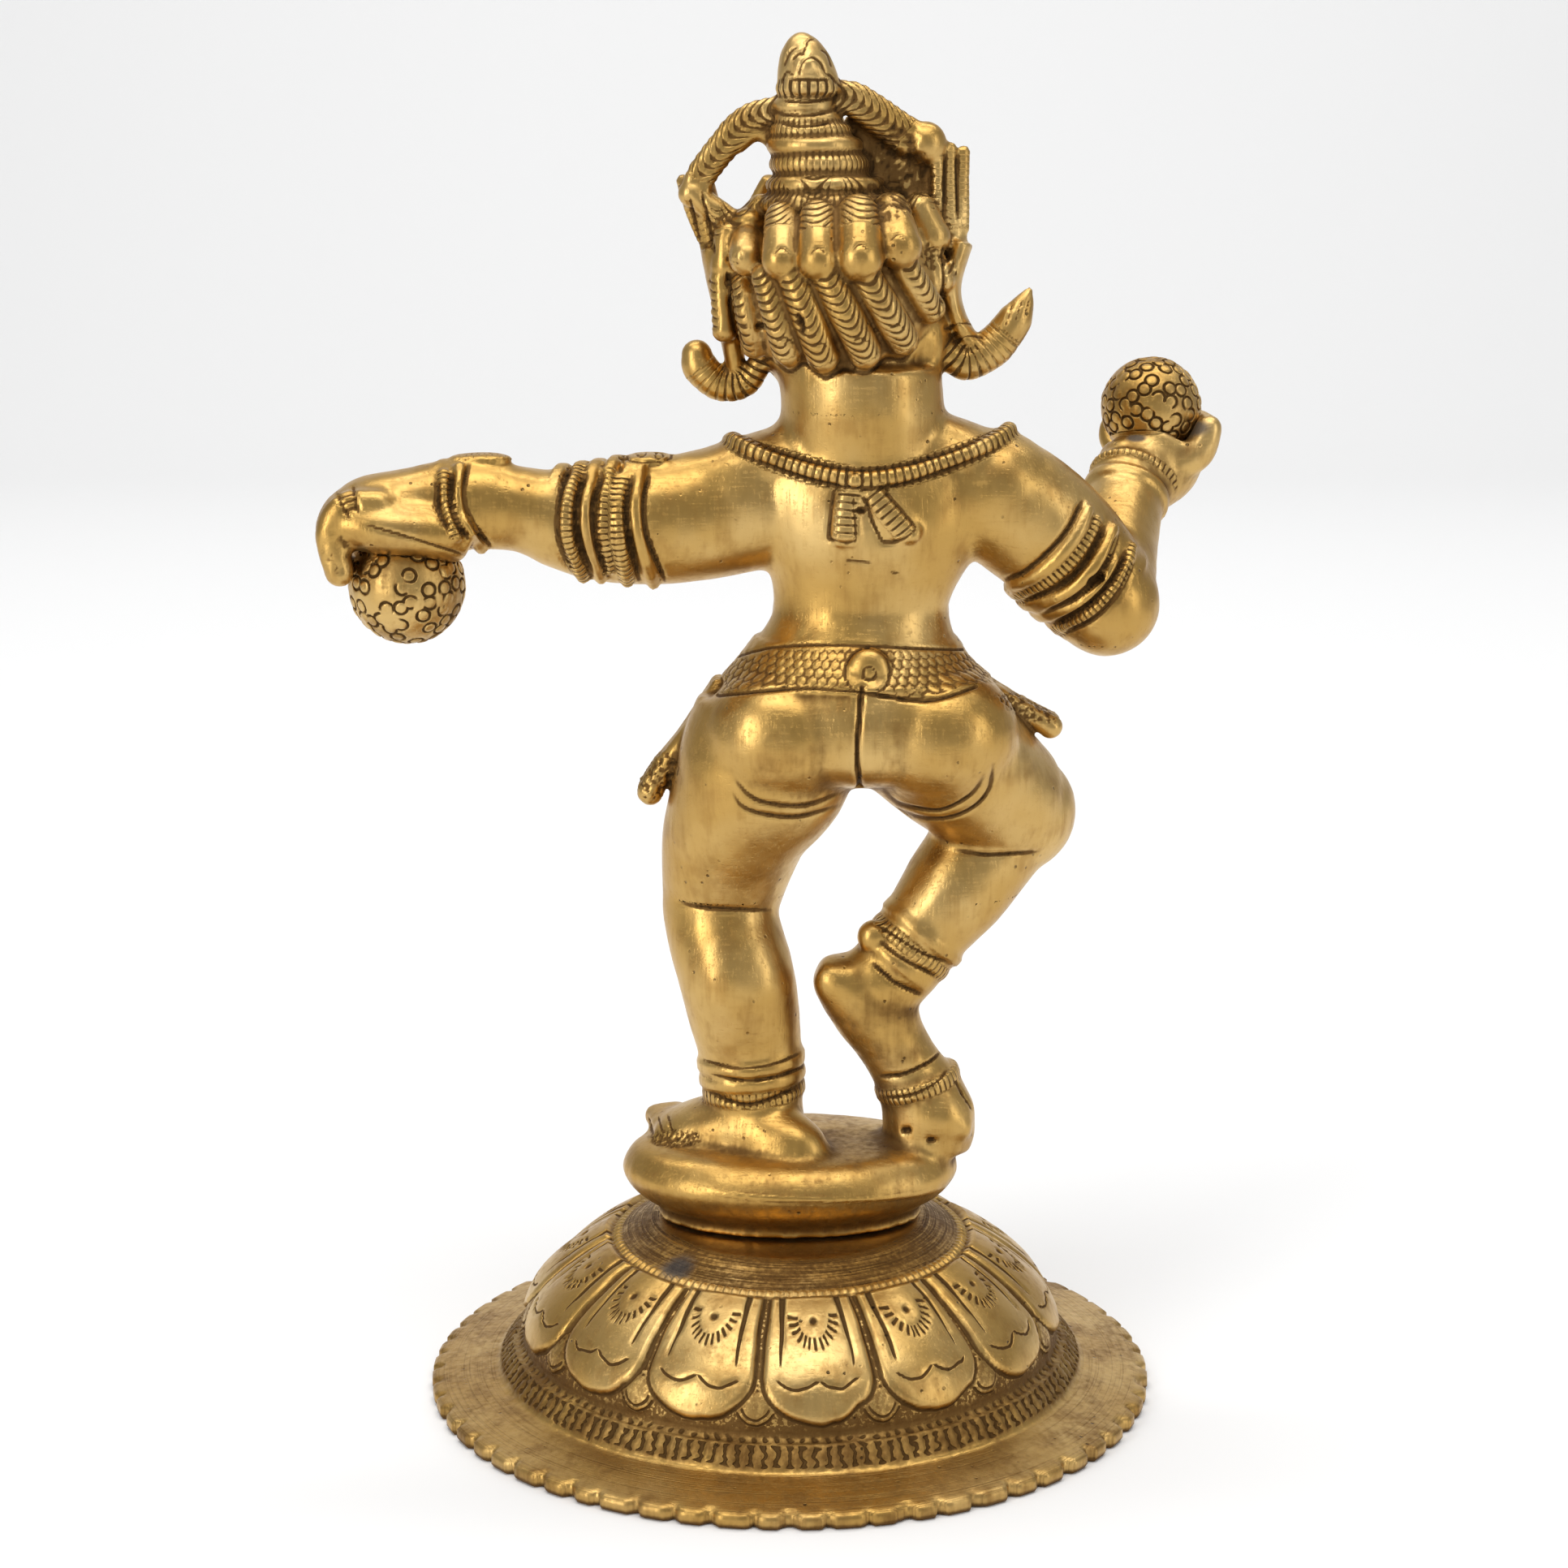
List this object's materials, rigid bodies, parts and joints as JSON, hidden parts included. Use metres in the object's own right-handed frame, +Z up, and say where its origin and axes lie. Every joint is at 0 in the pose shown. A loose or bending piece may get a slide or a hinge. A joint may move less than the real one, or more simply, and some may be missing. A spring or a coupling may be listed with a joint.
{
  "type": "laddu gopal idol",
  "caption": "Cast brass statuette of a dancing child holding a round sweet in each hand, standing on a domed lotus base.",
  "frame": {"origin": "on the floor under the middle of the statuette", "axes": "+Z up; the figure faces -Y and its own left arm reaches towards +X"},
  "size_m": [0.154, 0.1258, 0.2299],
  "materials": {
    "base_brass": "turned, chased and dark in the hollows",
    "figure_brass": "file-polished, brown patina in the grooves",
    "laddu_brass": "ring-punched, satin"
  },
  "bodies": {
    "root": {"lotus_base": "base_brass", "dancing_figure": "figure_brass", "raised_laddu": "laddu_brass", "lowered_laddu": "laddu_brass"}
  },
  "joints": []
}
